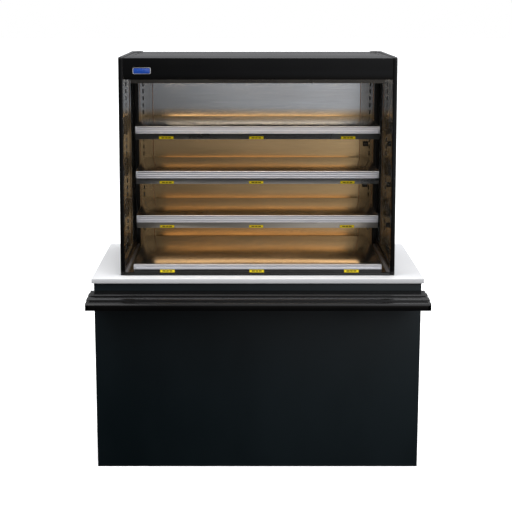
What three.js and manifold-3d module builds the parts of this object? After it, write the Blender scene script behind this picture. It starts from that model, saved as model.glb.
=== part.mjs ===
// Open-front bakery display case: a heated three-shelf merchandiser dropped into a
// countertop, on a panelled base cabinet with a tray slide across the front.
// Millimetres. +Z is up, -Y is the customer's side, the origin is on the floor under
// the middle of the whole object.
import * as THREE from 'three';
import { mergeVertices } from 'three/addons/utils/BufferGeometryUtils.js';
import Module from 'manifold-3d';

const wasm = await Module();
wasm.setup();

// ---- driving dimensions -------------------------------------------------------
const GAP = 0.3;                 // clearance kept between pieces that touch

// base cabinet
const BASE_W = 1449;
const PANEL = 19;                // board thickness
const DOOR_PLANE = 736;          // inner face of the rear doors, behind the base front
const DOOR_T = 20;
const PULL_REACH = 30;           // how far a door pull stands off its door
const FLOOR_TOP = 79;            // top of the cabinet floor
const HEADER_H = 75;             // rear rail above the doors

// countertop
const TOP_Z = 877;               // its working height
const TOP_T = 22;
const TOP_W = 1469;
const TOP_FRONT = -12;           // overhang in front of the base
const TOP_REAR = 760;

// tray slide
const TRAY_W = 1477;
const TRAY_D = 205;
const TRAY_REAR_Z = TOP_Z - 56;
const TRAY_FALL = 12;            // it falls this much from rear to front
const TRAY_LIP = 18;
const TRAY_T = 3;
const BEAD_H = 7;
const BEAD_SLOPES = [4, 3];      // run of a raised band's rear and front slope
const BEADS = [[66, 101.5], [112, 168]];   // the bands, measured forward from the base
const NOSE_RUN = 15;             // depth of the rounded front edge
const NOSE_RISE = 3.5;
const NOSE_DROP = 5;
const BRACKET_X = 578;
const BRACKET_W = 37;
const BRACKET_T = 3;
const BRACKET_ROOT = 68;         // height of a bracket against the base
const BRACKET_TIP = 19;          // and behind the tray's lip

// display case
const CASE_W = 1220;
const CASE_H = 964;
const CASE_TOP = TOP_Z + CASE_H;
const CASE_FRONT = 49;           // bottom of the leaning front edge
const CASE_LEAN = 51;            // how far the front leans back at the top
const CASE_REAR = 760;
const FRAME_T = 19;              // thickness of an end frame, across the case
const POST = 32;                 // width of an end frame's members
const CORNER = 10;               // radius on the frames' outer corners
const GLASS_T = 5;
const INNER = CASE_W / 2 - FRAME_T;
const FASCIA_H = 97;
const FASCIA_T = 12;
const LID_T = 12;
const LID_DROP = 3;              // the canopy's top sits this far below the end frames

// cut-out, tub and deck
const CUT_X = 545;
const CUT_FRONT = 95;
const CUT_REAR = 705;
const TUB_DEPTH = 175;
const SHEET = 1.5;               // stainless sheet
const SILL_H = 10;
const DECK_Z = TOP_Z + 49;
const DECK_RAIL_H = 20.6;
const DECK_SKIRT = 30;

// shelves
const SHELF_X = 552;             // half the width of shelves and deck
const SHELF_FRONT = 227;
const SLOT_PITCH = 34;
const SHELF_STEP = 6 * SLOT_PITCH;
const SHELF_TOP = TOP_Z + 648;
const SHELVES = { upper: SHELF_TOP, middle: SHELF_TOP - SHELF_STEP, lower: SHELF_TOP - 2 * SHELF_STEP };
const RAIL_H = 32;
const RAIL_T = 6;
const SKIRT = 24;                // turned-down edge of a shelf pan
const COVER_DROP = 60;           // underside of a shelf below its top
const COVER_RUN = 10;            // how far the leaning front of the cover runs back
const ARM_T = 3;                 // shelf bracket plate

// back wall
const LINER_Y = 722;
const LINER_X = 509;
const COLUMN_Y = 720;
const COLUMN_X = 571;            // outer edge of a column's raised face
const COLUMN_T = 2.5;
const COLUMN_STEP = 6;
const SLOT_W = 6;
const SLOT_H = 20;
const SLOT_X = 556;
const SLOT_COUNT = 25;
const HOOK_DROP = 24;            // underside of a bracket's top hook below the shelf top
const HOOK_NECK = 9;
const HOOK_NOSE = 8;
const SKIN_Y = 745;
const SKIN_T = 3;

// everything is laid out from the base's front face, then centred over the origin
const REAR_MOST = DOOR_PLANE + DOOR_T + GAP + PULL_REACH;
const SHIFT = (TRAY_D - REAR_MOST) / 2;
const LINER_FOOT = TOP_Z + 4;
const LID_TOP = CASE_TOP - LID_DROP;
const LID_UNDER = LID_TOP - LID_T;

// ---- materials ------------------------------------------------------------------
const finish = (color, roughness, metalness, extra = {}) => () =>
  new THREE.MeshStandardMaterial({ color, roughness, metalness, ...extra });
const blackLaminate = finish(0x0c0f10, 0.45, 0);
const blackPaint = finish(0x101010, 0.35, 0.1);
const powderCoat = finish(0x1b1b1b, 0.5, 0.1);
const whiteSurface = finish(0xf4f4f2, 0.3, 0);
const stainless = finish(0xb4b4b6, 0.28, 1);
const aluminium = finish(0xc6c6c8, 0.35, 1);
const clearGlass = finish(0xd8e4e0, 0.05, 0, { transparent: true, opacity: 0.3 });
const lampLens = finish(0xfff0d8, 0.4, 0);
const blackPlastic = finish(0x0b0b0b, 0.5, 0);
const brightSteel = finish(0xd0d0d2, 0.15, 1);

// ---- shape helpers ----------------------------------------------------------------
const model = new THREE.Group();
model.position.y = SHIFT;

function add(name, material, geometry, place = [0, 0, 0]) {
  const mesh = new THREE.Mesh(geometry, material());
  mesh.name = name;
  mesh.position.set(...place);
  model.add(mesh);
}

// a box given by its limits along each axis
function block([x0, x1], [y0, y1], [z0, z1]) {
  const geometry = new THREE.BoxGeometry(x1 - x0, y1 - y0, z1 - z0);
  return geometry.translate((x0 + x1) / 2, (y0 + y1) / 2, (z0 + z1) / 2);
}

function shapeOf(points) {
  return new THREE.Shape(points.map(([a, b]) => new THREE.Vector2(a, b)));
}

// a side outline in (y, z), swept across the case from x0 to x1
function sweepX(shape, x0, x1) {
  const geometry = new THREE.ExtrudeGeometry(shape, { depth: x1 - x0, bevelEnabled: false, curveSegments: 6 });
  const turn = new THREE.Matrix4().makeBasis(
    new THREE.Vector3(0, 1, 0), new THREE.Vector3(0, 0, 1), new THREE.Vector3(1, 0, 0));
  return geometry.applyMatrix4(turn).translate(x0, 0, 0);
}

// a plan outline in (x, y), swept upwards from z0 to z1
function sweepZ(shape, z0, z1) {
  const geometry = new THREE.ExtrudeGeometry(shape, { depth: z1 - z0, bevelEnabled: false, curveSegments: 6 });
  return geometry.translate(0, 0, z0);
}

// a polygon whose corners are rounded to the given radius
function roundedShape(points, radius) {
  const shape = new THREE.Shape();
  points.forEach(([a, b], i) => {
    const corner = new THREE.Vector2(a, b);
    const before = new THREE.Vector2(...points.at(i - 1));
    const after = new THREE.Vector2(...points[(i + 1) % points.length]);
    const enter = corner.clone().add(before.sub(corner).setLength(radius));
    const leave = corner.clone().add(after.sub(corner).setLength(radius));
    if (i === 0) {
      shape.moveTo(enter.x, enter.y);
    } else {
      shape.lineTo(enter.x, enter.y);
    }
    shape.quadraticCurveTo(corner.x, corner.y, leave.x, leave.y);
  });
  shape.closePath();
  return shape;
}

function toSolid(geometry) {
  const bare = geometry.clone();
  bare.deleteAttribute('normal');
  bare.deleteAttribute('uv');
  const merged = mergeVertices(bare, 1e-3);
  return new wasm.Manifold(new wasm.Mesh({
    numProp: 3,
    vertProperties: new Float32Array(merged.attributes.position.array),
    triVerts: new Uint32Array(merged.index.array),
  }));
}

function toGeometry(solid) {
  const mesh = solid.getMesh();
  const geometry = new THREE.BufferGeometry();
  geometry.setAttribute('position', new THREE.BufferAttribute(mesh.vertProperties, 3));
  geometry.setIndex(new THREE.BufferAttribute(mesh.triVerts, 1));
  const loose = geometry.toNonIndexed();
  loose.computeVertexNormals();
  return loose;
}

function cut(body, ...tools) {
  let solid = toSolid(body);
  for (const tool of tools) {
    solid = solid.subtract(toSolid(tool));
  }
  return toGeometry(solid);
}

function join(first, ...others) {
  let solid = toSolid(first);
  for (const other of others) {
    solid = solid.add(toSolid(other));
  }
  return toGeometry(solid);
}

// a round bar along z
function barZ(radius, z0, z1, x, y, sides = 16) {
  const geometry = new THREE.CylinderGeometry(radius, radius, z1 - z0, sides);
  return geometry.rotateX(Math.PI / 2).translate(x, y, (z0 + z1) / 2);
}

const sides = { left: -1, right: 1 };

// limits along x on one side of the case, from a near to a far distance off centre
function span(side, near, far) {
  return side < 0 ? [-far, -near] : [near, far];
}

// ---- base cabinet -----------------------------------------------------------------
function baseCabinet() {
  const half = BASE_W / 2;
  const top = TOP_Z - TOP_T - GAP;
  const rear = DOOR_PLANE - GAP;
  const inside = half - PANEL - GAP;
  add('base_front_panel', blackLaminate, block([-half, half], [0, PANEL], [0, top]));
  for (const [word, side] of Object.entries(sides)) {
    add(`base_side_${word}`, blackLaminate,
      block(span(side, half - PANEL, half), [PANEL + GAP, rear], [0, top]));
  }
  const floor = block([-inside, inside], [PANEL + GAP, rear], [FLOOR_TOP - PANEL, FLOOR_TOP]);
  const kick = block([-inside, inside], [rear - PANEL, rear], [0, FLOOR_TOP - 1]);
  add('base_floor', blackLaminate, join(floor, kick));
  add('base_rear_header', blackLaminate,
    block([-inside, inside], [rear - PANEL, rear], [top - HEADER_H, top]));
}

// ---- rear doors, their hinges and pulls ---------------------------------------------
const DOOR_LOW = 62;
const DOOR_HIGH = 848;
const KNUCKLE_R = 4;
const PIN_R = 1.8;
const HINGE_X = BASE_W / 2 + KNUCKLE_R + GAP;
const HINGE_LOW = 90;
const HINGE_HIGH = 820;
const KNUCKLES = 5;
const LEAF_T = 1.5;

function hingeLeaf(side, moving) {
  const pitch = (HINGE_HIGH - HINGE_LOW) / KNUCKLES;
  const axisX = side * HINGE_X;
  const near = BASE_W / 2 + (moving ? 0 : GAP);
  const reach = moving ? [DOOR_PLANE, DOOR_PLANE + DOOR_T - 2] : [DOOR_PLANE - 34, DOOR_PLANE];
  let leaf = toSolid(block(span(side, near, near + LEAF_T), reach, [HINGE_LOW, HINGE_HIGH]));
  for (let i = 0; i < KNUCKLES; i += 1) {
    const low = HINGE_LOW + i * pitch;
    const mine = (i % 2 === 1) === moving;
    if (mine) {
      leaf = leaf.add(toSolid(barZ(KNUCKLE_R, low + GAP, low + pitch - GAP, axisX, DOOR_PLANE)));
    } else {
      leaf = leaf.subtract(toSolid(barZ(KNUCKLE_R + GAP, low - GAP, low + pitch + GAP, axisX, DOOR_PLANE)));
    }
  }
  if (moving) {
    leaf = leaf.subtract(toSolid(barZ(PIN_R + GAP, HINGE_LOW, HINGE_HIGH, axisX, DOOR_PLANE, 12)));
  } else {
    leaf = leaf.add(toSolid(barZ(PIN_R, HINGE_LOW + 2, HINGE_HIGH - 2, axisX, DOOR_PLANE, 12)));
  }
  return toGeometry(leaf);
}

function doorPull(side) {
  const x = side * 62;
  const face = DOOR_PLANE + DOOR_T + GAP;
  const outer = roundedShape([[face, 560], [face + PULL_REACH, 560],
    [face + PULL_REACH, 720], [face, 720]], 8);
  const inner = roundedShape([[face - 9, 572], [face + PULL_REACH - 9, 572],
    [face + PULL_REACH - 9, 708], [face - 9, 708]], 6);
  return cut(sweepX(outer, x - 6, x + 6), sweepX(inner, x - 7, x + 7));
}

function rearDoors() {
  for (const [word, side] of Object.entries(sides)) {
    add(`rear_door_${word}`, blackLaminate,
      block(span(side, 1.5, BASE_W / 2 - 0.5), [DOOR_PLANE, DOOR_PLANE + DOOR_T], [DOOR_LOW, DOOR_HIGH]));
    add(`hinge_fixed_leaf_${word}`, brightSteel, hingeLeaf(side, false));
    add(`hinge_moving_leaf_${word}`, brightSteel, hingeLeaf(side, true));
    add(`door_pull_${word}`, brightSteel, doorPull(side));
  }
}

// ---- countertop ---------------------------------------------------------------------
function countertop() {
  const slab = sweepX(roundedShape([[TOP_FRONT, TOP_Z - TOP_T], [TOP_REAR, TOP_Z - TOP_T],
    [TOP_REAR, TOP_Z], [TOP_FRONT, TOP_Z]], 2), -TOP_W / 2, TOP_W / 2);
  const opening = block([-CUT_X, CUT_X], [CUT_FRONT, CUT_REAR], [TOP_Z - TOP_T - 5, TOP_Z + 5]);
  add('countertop', whiteSurface, cut(slab, opening));
}

// ---- tray slide and its brackets ------------------------------------------------------
// height of the plain tray surface at a distance in front of the base
const trayZ = (out) => TRAY_REAR_Z - TRAY_FALL * out / TRAY_D;

// the ribbed upper line of the tray, from the base to the nosing
function trayLine() {
  const line = [[-GAP, TRAY_REAR_Z]];
  for (const [start, end] of BEADS) {
    const [behind, before] = BEAD_SLOPES;
    for (const [out, rise] of [[start, 0], [start + behind, BEAD_H], [end - before, BEAD_H], [end, 0]]) {
      line.push([-out, trayZ(out) + rise]);
    }
  }
  const nose = TRAY_D - NOSE_RUN;
  const crest = trayZ(nose) + NOSE_RISE;
  line.push([-(nose - NOSE_RUN), trayZ(nose - NOSE_RUN)]);
  for (let step = 0; step <= 5; step += 1) {
    const turn = Math.PI / 2 * step / 5;
    line.push([-(nose + NOSE_RUN * Math.sin(turn)), crest - NOSE_DROP * (1 - Math.cos(turn))]);
  }
  return line;
}

function traySlide() {
  const upper = trayLine();
  const lower = upper.map(([y, z]) => [y, z - TRAY_T]).reverse();
  const sheet = sweepX(shapeOf([...upper, ...lower]), -TRAY_W / 2, TRAY_W / 2);
  const lipTop = upper.at(-1)[1];
  const lip = block([-TRAY_W / 2, TRAY_W / 2], [-TRAY_D, -TRAY_D + TRAY_T], [lipTop - TRAY_LIP, lipTop - 0.5]);
  const flange = block([-TRAY_W / 2 + 14, TRAY_W / 2 - 14], [-GAP - TRAY_T, -GAP],
    [TRAY_REAR_Z - 40, TRAY_REAR_Z - 1]);
  add('tray_slide', powderCoat, join(sheet, lip, flange));
}

// a channel-shaped cantilever: two webs, a back plate on the base and a top plate
function trayBracket(side) {
  const x0 = side * BRACKET_X - BRACKET_W / 2;
  const x1 = x0 + BRACKET_W;
  const rear = -GAP * 2 - TRAY_T;
  const tip = -TRAY_D + TRAY_T + 8;
  const under = (y) => trayZ(-y) - TRAY_T - GAP;
  const outline = shapeOf([[rear, under(rear)], [tip, under(tip)], [tip, under(tip) - BRACKET_TIP],
    [tip + 12, under(tip) - BRACKET_TIP], [rear, under(rear) - BRACKET_ROOT]]);
  const body = sweepX(outline, x0, x1);
  const hollow = sweepX(shapeOf([[rear - BRACKET_T, under(rear) - BRACKET_T],
    [tip - 5, under(tip) - BRACKET_T], [tip - 5, under(tip) - 200], [rear - BRACKET_T, under(rear) - 200]]),
  x0 + BRACKET_T, x1 - BRACKET_T);
  return cut(body, hollow);
}

// ---- end frames, glass and channels -----------------------------------------------------
const caseFrontAt = (z) => CASE_FRONT + CASE_LEAN * (z - TOP_Z) / CASE_H;

function endOutline(inset) {
  const low = TOP_Z + GAP + inset;
  const high = CASE_TOP - inset;
  return [[caseFrontAt(low) + inset, low], [CASE_REAR - inset, low],
    [CASE_REAR - inset, high], [caseFrontAt(high) + inset, high]];
}

function endPanels() {
  for (const [word, side] of Object.entries(sides)) {
    const [x0, x1] = span(side, INNER, CASE_W / 2);
    const rim = sweepX(roundedShape(endOutline(0), CORNER), x0, x1);
    const window = sweepX(roundedShape(endOutline(POST), CORNER), x0 - 5, x1 + 5);
    add(`end_frame_${word}`, blackPaint, cut(rim, window));
    const middle = (x0 + x1) / 2;
    add(`end_glass_${word}`, clearGlass,
      sweepX(roundedShape(endOutline(POST + GAP), CORNER), middle - GLASS_T / 2, middle + GLASS_T / 2));
    const [c0, c1] = span(side, INNER - 8, INNER - GAP);
    const foot = TOP_Z + GAP + SHEET + 0.5 + GAP;
    const channel = block([c0, c1], [82, 712], [foot, foot + 9]);
    const groove = block([c0 + 2.5, c1 - 2.5], [80, 714], [foot + 3, foot + 12]);
    add(`glass_channel_${word}`, aluminium, cut(channel, groove));
  }
}

// ---- tub, sill and deck --------------------------------------------------------------------
function tubAndDeck() {
  const flangeLow = TOP_Z + GAP;
  const flangeHigh = flangeLow + SHEET + 0.5;
  const tubX = CUT_X - 4;
  const well = block([-tubX, tubX], [CUT_FRONT + 4, CUT_REAR - 4], [TOP_Z - TUB_DEPTH, flangeHigh - 0.2]);
  const flange = block([-INNER + GAP, INNER - GAP], [CASE_FRONT + 28, SKIN_Y - 4], [flangeLow, flangeHigh]);
  const hollow = block([-tubX + SHEET, tubX - SHEET], [CUT_FRONT + 4 + SHEET, CUT_REAR - 4 - SHEET],
    [TOP_Z - TUB_DEPTH + SHEET, TOP_Z + 20]);
  add('tub', stainless, cut(join(well, flange), hollow));

  const sillRear = CASE_FRONT + 27;
  add('front_sill', blackPaint,
    block([-INNER + GAP, INNER - GAP], [CASE_FRONT + 1, sillRear], [TOP_Z + GAP, TOP_Z + GAP + SILL_H]));
  const kickLow = TOP_Z + 2 * GAP + SILL_H;
  const railLow = DECK_Z - DECK_RAIL_H;
  add('deck_kick', blackPaint,
    block([-SHELF_X, SHELF_X], [CASE_FRONT + 5, CASE_FRONT + 20], [kickLow, railLow - GAP]));
  add('deck_heater', aluminium,
    block([-CUT_X - 3, CUT_X + 3], [CUT_FRONT - 8, CUT_REAR + 8], [flangeHigh + GAP, flangeHigh + GAP + 2]));

  const panFront = CASE_FRONT + 22;
  const panRear = COLUMN_Y - 4;
  const pan = block([-SHELF_X, SHELF_X], [panFront, panRear], [DECK_Z - DECK_SKIRT, DECK_Z]);
  const under = block([-SHELF_X + SHEET, SHELF_X - SHEET], [panFront + SHEET, panRear - SHEET],
    [DECK_Z - DECK_SKIRT - 5, DECK_Z - SHEET]);
  add('deck_pan', stainless, cut(pan, under));
  add('deck_price_rail', aluminium,
    sweepX(ribbedRail(CASE_FRONT + 1, panFront - GAP, railLow, DECK_Z, 2), -SHELF_X, SHELF_X));
}

// a label rail's section: a flat back, a front with shallow grooves and a step at the top
function ribbedRail(front, rear, low, high, ribs) {
  const pitch = (high - low) / ribs;
  const sunk = front + 1.6;
  const line = [[rear, high], [rear, low]];
  for (let i = 0; i < ribs; i += 1) {
    const z = low + i * pitch;
    line.push([front, z], [front, z + pitch * 0.72], [sunk, z + pitch * 0.8], [sunk, z + pitch * 0.95]);
  }
  line.push([front, high - 0.5], [front + 0.6, high]);
  return shapeOf(line);
}

// ---- back wall -------------------------------------------------------------------------------
const SLOT_BASE = SHELF_TOP - HOOK_DROP - GAP - 16 * SLOT_PITCH;

function backWall() {
  add('back_liner', stainless,
    block([-LINER_X + GAP, LINER_X - GAP], [LINER_Y, LINER_Y + SHEET], [LINER_FOOT, LID_UNDER - GAP]));
  for (const [word, side] of Object.entries(sides)) {
    const x = (value) => side * value;
    const face = COLUMN_Y;
    const back = COLUMN_Y + COLUMN_T;
    const outline = shapeOf([[x(LINER_X), face], [x(COLUMN_X), face], [x(COLUMN_X), face + COLUMN_STEP],
      [x(INNER - GAP), face + COLUMN_STEP], [x(INNER - GAP), back + COLUMN_STEP],
      [x(COLUMN_X - COLUMN_T), back + COLUMN_STEP], [x(COLUMN_X - COLUMN_T), back], [x(LINER_X), back]]);
    const column = sweepZ(outline, LINER_FOOT, LID_UNDER - GAP);
    const slots = [];
    for (let i = 0; i < SLOT_COUNT; i += 1) {
      const low = SLOT_BASE + i * SLOT_PITCH;
      const across = span(side, SLOT_X - SLOT_W / 2, SLOT_X + SLOT_W / 2);
      slots.push(block(across, [face - 5, back + 5], [low, low + SLOT_H]));
    }
    add(`side_column_${word}`, stainless, cut(column, ...slots));
  }
  for (const [word, top] of Object.entries(SHELVES)) {
    const body = block([525, 550.5], [COLUMN_Y - GAP - 6, COLUMN_Y - GAP], [top - 148, top - 124]);
    const well = block([530, 545.5], [COLUMN_Y - GAP - 10, COLUMN_Y - GAP - 2], [top - 143, top - 129]);
    add(`shelf_socket_${word}`, blackPlastic, cut(body, well));
  }
  add('rear_skin', stainless,
    block([-INNER + GAP, INNER - GAP], [SKIN_Y, SKIN_Y + SKIN_T], [TOP_Z + GAP, LID_UNDER - GAP]));
}

// ---- canopy ------------------------------------------------------------------------------------
function canopy() {
  const low = CASE_TOP - FASCIA_H;
  const edge = 1.5;                 // the fascia sits this far back from the frames
  const fascia = shapeOf([[caseFrontAt(low) + edge, low], [caseFrontAt(low) + edge + FASCIA_T, low],
    [caseFrontAt(LID_TOP) + edge + FASCIA_T, LID_TOP], [caseFrontAt(LID_TOP) + edge, LID_TOP]]);
  add('canopy_fascia', blackPaint, sweepX(fascia, -INNER + GAP, INNER - GAP));
  const lidFront = caseFrontAt(LID_TOP) + edge + FASCIA_T + GAP;
  add('canopy_top', blackPaint,
    block([-INNER + GAP, INNER - GAP], [lidFront, CASE_REAR - 1], [LID_UNDER, LID_TOP]));

  const lampX = 559;
  const lampLow = TOP_Z + 850;
  const lampFront = caseFrontAt(low) + edge + FASCIA_T + GAP + 1;
  const lampRear = lampFront + 92;
  const housing = sweepX(shapeOf([[lampFront + 8, lampLow], [lampFront + 62, lampLow],
    [lampRear, lampLow + 34],
    [lampRear, LID_UNDER - GAP], [lampFront + 5, LID_UNDER - GAP], [lampFront, low]]), -lampX, lampX);
  const trough = block([-lampX + 30, lampX - 30], [lampFront + 14, lampFront + 50],
    [lampLow - 5, lampLow + 22]);
  add('light_housing', stainless, cut(housing, trough));
  add('light_lens', lampLens,
    block([-lampX + 31, lampX - 31], [lampFront + 15, lampFront + 49], [lampLow + 1, lampLow + 6]));

  const badge = roundedShape([[-40, -15], [40, -15], [40, 15], [-40, 15]], 7);
  const plate = new THREE.ExtrudeGeometry(badge, { depth: 2, bevelEnabled: false, curveSegments: 4 });
  plate.rotateX(Math.PI / 2);
  plate.rotateX(-Math.atan2(CASE_LEAN, CASE_H));
  add('badge_plate', brightSteel, plate, [-508, caseFrontAt(CASE_TOP - 59) + edge - GAP, CASE_TOP - 59]);
}

// ---- shelves -------------------------------------------------------------------------------------
function shelfArm(side, top) {
  const rear = COLUMN_Y - GAP;
  const front = SHELF_FRONT + 90;
  const [x0, x1] = span(side, SLOT_X - ARM_T / 2, SLOT_X + ARM_T / 2);
  const parts = [sweepX(shapeOf([[front, top - 5], [front, top - 26], [front + 30, top - 40],
    [rear, top - 92], [rear, top - 5]]), x0, x1)];
  for (const step of [0, 1]) {
    const seat = top - HOOK_DROP - step * SLOT_PITCH;
    const noseFront = COLUMN_Y + COLUMN_T + GAP;
    const hook = shapeOf([[rear - 2, seat], [noseFront, seat], [noseFront, seat - HOOK_NOSE],
      [noseFront + 4, seat - HOOK_NOSE], [noseFront + 6, seat + HOOK_NECK], [rear - 2, seat + HOOK_NECK]]);
    parts.push(sweepX(hook, x0, x1));
  }
  return join(...parts);
}

function shelf(word, top) {
  const panFront = SHELF_FRONT + RAIL_T;
  const panRear = COLUMN_Y - 1;
  const pan = block([-SHELF_X, SHELF_X], [panFront, panRear], [top - SKIRT, top]);
  const under = block([-SHELF_X + SHEET, SHELF_X - SHEET], [panFront + SHEET, panRear - SHEET],
    [top - SKIRT - 5, top - SHEET]);
  add(`shelf_pan_${word}`, stainless, cut(pan, under));
  add(`shelf_price_rail_${word}`, aluminium,
    sweepX(ribbedRail(SHELF_FRONT, panFront - GAP, top - RAIL_H, top, 3), -SHELF_X, SHELF_X));

  const lip = top - SKIRT - GAP;
  const slope = (wall) => [[panFront + wall, lip + wall * 4], [panFront + wall, top - RAIL_H + wall / 2],
    [panFront + COVER_RUN + wall * 0.8, top - COVER_DROP + wall], [panRear - wall, top - COVER_DROP + wall],
    [panRear - wall, lip + wall * 4]];
  add(`shelf_cover_${word}`, stainless, cut(
    sweepX(shapeOf(slope(0)), -SHELF_X + GAP, SHELF_X - GAP),
    sweepX(shapeOf(slope(SHEET)), -SHELF_X + GAP + SHEET, SHELF_X - GAP - SHEET)));
  for (const [hand, side] of Object.entries(sides)) {
    add(`shelf_bracket_${hand}_${word}`, stainless, shelfArm(side, top));
  }
}

// ---- controls on the operator's side -----------------------------------------------------------------
const PANEL_X = 420;
const PANEL_Z = 950;
const KNOB_X = -28;
const SWITCH_X = 34;
const ROCK = 9;                  // the switch leans this many degrees either way

function controls() {
  const face = SKIN_Y + SKIN_T + GAP;
  const plate = block([PANEL_X - 75, PANEL_X + 75], [face, face + 3], [PANEL_Z - 40, PANEL_Z + 40]);
  const window = block([PANEL_X + SWITCH_X - 9, PANEL_X + SWITCH_X + 9], [face - 3, face + 8],
    [PANEL_Z - 14, PANEL_Z + 14]);
  add('control_panel', blackPlastic, cut(plate, window));

  const knob = new THREE.LatheGeometry([[0, 0], [19, 0], [19, 4], [15, 6], [13.5, 20], [0, 21]]
    .map(([r, h]) => new THREE.Vector2(r, h)), 24);
  const grip = block([-2.2, 2.2], [6, 24], [-13, 13]);
  add('thermostat_knob', blackPlastic, join(knob, grip), [PANEL_X + KNOB_X, face + 3 + GAP, PANEL_Z]);

  const rockerSide = shapeOf([[-2, -11.5], [2.5, -12], [1.2, 0], [2.5, 12], [-2, 11.5], [-2, 0]]);
  const rocker = sweepX(rockerSide, -7.5, 7.5).rotateX(THREE.MathUtils.degToRad(-ROCK));
  add('power_switch', blackPlastic, rocker, [PANEL_X + SWITCH_X, face + 5, PANEL_Z]);

  const gland = new THREE.LatheGeometry([[6, 0], [16, 0], [16, 8], [13, 9], [13, 20], [10, 24],
    [6, 24], [6, 0]]
    .map(([r, h]) => new THREE.Vector2(r, h)), 20);
  add('cable_gland', blackPlastic, gland, [-600, DOOR_PLANE, 32]);
}

baseCabinet();
rearDoors();
countertop();
traySlide();
for (const [word, side] of Object.entries(sides)) {
  add(`tray_bracket_${word}`, powderCoat, trayBracket(side));
}
tubAndDeck();
endPanels();
backWall();
canopy();
for (const [word, top] of Object.entries(SHELVES)) {
  shelf(word, top);
}
controls();

export default model;
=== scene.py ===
"""Open-front bakery display case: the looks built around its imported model.

Pieces are laid out in millimetres, in the object's own frame, and scaled to metres as each
one is finished. Distances called "out" or "back" run from the base cabinet's front face.
"""

import math

import bmesh
import bpy
from mathutils import Matrix, Vector


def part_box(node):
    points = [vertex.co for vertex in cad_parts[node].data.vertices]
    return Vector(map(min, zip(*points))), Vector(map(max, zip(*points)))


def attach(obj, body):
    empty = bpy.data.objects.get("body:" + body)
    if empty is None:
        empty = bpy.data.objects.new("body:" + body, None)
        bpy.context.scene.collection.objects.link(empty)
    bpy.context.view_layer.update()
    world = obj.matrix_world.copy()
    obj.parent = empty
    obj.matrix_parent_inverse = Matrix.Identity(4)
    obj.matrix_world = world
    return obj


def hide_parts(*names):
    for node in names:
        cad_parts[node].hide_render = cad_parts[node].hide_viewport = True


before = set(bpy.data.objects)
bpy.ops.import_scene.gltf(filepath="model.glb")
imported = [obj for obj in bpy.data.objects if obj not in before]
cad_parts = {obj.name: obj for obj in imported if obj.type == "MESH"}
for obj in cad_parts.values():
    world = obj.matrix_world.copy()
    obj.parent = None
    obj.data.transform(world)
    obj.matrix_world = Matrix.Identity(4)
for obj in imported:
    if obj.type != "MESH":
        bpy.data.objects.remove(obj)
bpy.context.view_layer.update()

MM = 0.001
GAP = 0.3
SIDES = {"left": -1, "right": 1}
LEVELS = ("upper", "middle", "lower")
UPRIGHT = Matrix.Rotation(math.pi / 2, 3, "X")


def limits(node):
    """Lowest and highest corner of a CAD solid, in millimetres."""
    low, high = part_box(node)
    return low / MM, high / MM


def centre_of(node):
    low, high = limits(node)
    return (low + high) / 2


BASE_FRONT = limits("base_front_panel")[0].y
BASE_HALF = limits("base_front_panel")[1].x
COUNTER = limits("countertop")[1].z
CASE_TOP = limits("end_frame_left")[1].z
INNER = limits("end_frame_right")[0].x
FOOT = COUNTER + GAP


# ---- shapes -----------------------------------------------------------------------


def rectangle(left, right, bottom, top):
    return [(left, bottom), (right, bottom), (right, top), (left, top)]


def placed(axis, a, b, along):
    """A point from its place across an axis and its distance along it."""
    if axis == "x":
        return Vector((along, a, b))
    if axis == "y":
        return Vector((a, along, b))
    return Vector((a, b, along))


def grown_verts(result):
    return [item for item in result["geom"] if isinstance(item, bmesh.types.BMVert)]


def round_edges(bm, edges, radius, steps=2):
    bmesh.ops.bevel(
        bm,
        geom=edges,
        offset=radius,
        offset_type="OFFSET",
        segments=steps,
        profile=0.5,
        affect="EDGES",
        clamp_overlap=True,
        material=-1,
    )


def ease(bm, radius, steps=2, least=35):
    """Breaks every edge that turns by more than the given angle."""
    bmesh.ops.recalc_face_normals(bm, faces=bm.faces[:])
    crisp = [
        edge
        for edge in bm.edges
        if edge.is_manifold and edge.calc_face_angle() > math.radians(least)
    ]
    round_edges(bm, crisp, radius, steps)
    return bm


def slab(low, high, radius=0.0, steps=2):
    """A board or bar between two corners, with its edges broken."""
    low, high = Vector(low), Vector(high)
    bm = bmesh.new()
    bmesh.ops.create_cube(bm, size=1.0)
    bmesh.ops.scale(bm, vec=high - low, verts=bm.verts)
    bmesh.ops.translate(bm, vec=(low + high) / 2, verts=bm.verts)
    if radius:
        round_edges(bm, bm.edges[:], radius, steps)
    return bm


def outline(bm, points, axis, at, radius=0.0, steps=3):
    """A flat face with its corners rounded."""
    corners = [bm.verts.new(placed(axis, a, b, at)) for a, b in points]
    bm.faces.new(corners)
    if radius:
        bmesh.ops.bevel(
            bm,
            geom=corners,
            offset=radius,
            offset_type="OFFSET",
            segments=steps,
            profile=0.5,
            affect="VERTICES",
            clamp_overlap=True,
            material=-1,
        )


def pulled(bm, axis, length):
    """Pulls everything in the mesh along an axis into a solid."""
    grown = bmesh.ops.extrude_face_region(bm, geom=bm.faces[:])
    bmesh.ops.translate(bm, vec=placed(axis, 0, 0, length), verts=grown_verts(grown))
    return bm


def prism(points, axis, start, end, radius=0.0, steps=3):
    """A solid of one outline, running along an axis."""
    bm = bmesh.new()
    outline(bm, points, axis, start, radius, steps)
    return pulled(bm, axis, end - start)


def ring(outer, inner, axis, start, end, radii=(0.0, 0.0), steps=4):
    """A solid of one outline with another cut out of it."""
    bm = bmesh.new()
    outline(bm, outer, axis, start, radii[0], steps)
    outline(bm, inner, axis, start, radii[1], steps)
    bmesh.ops.delete(bm, geom=bm.faces[:], context="FACES_ONLY")
    bmesh.ops.bridge_loops(bm, edges=bm.edges[:])
    return pulled(bm, axis, end - start)


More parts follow.
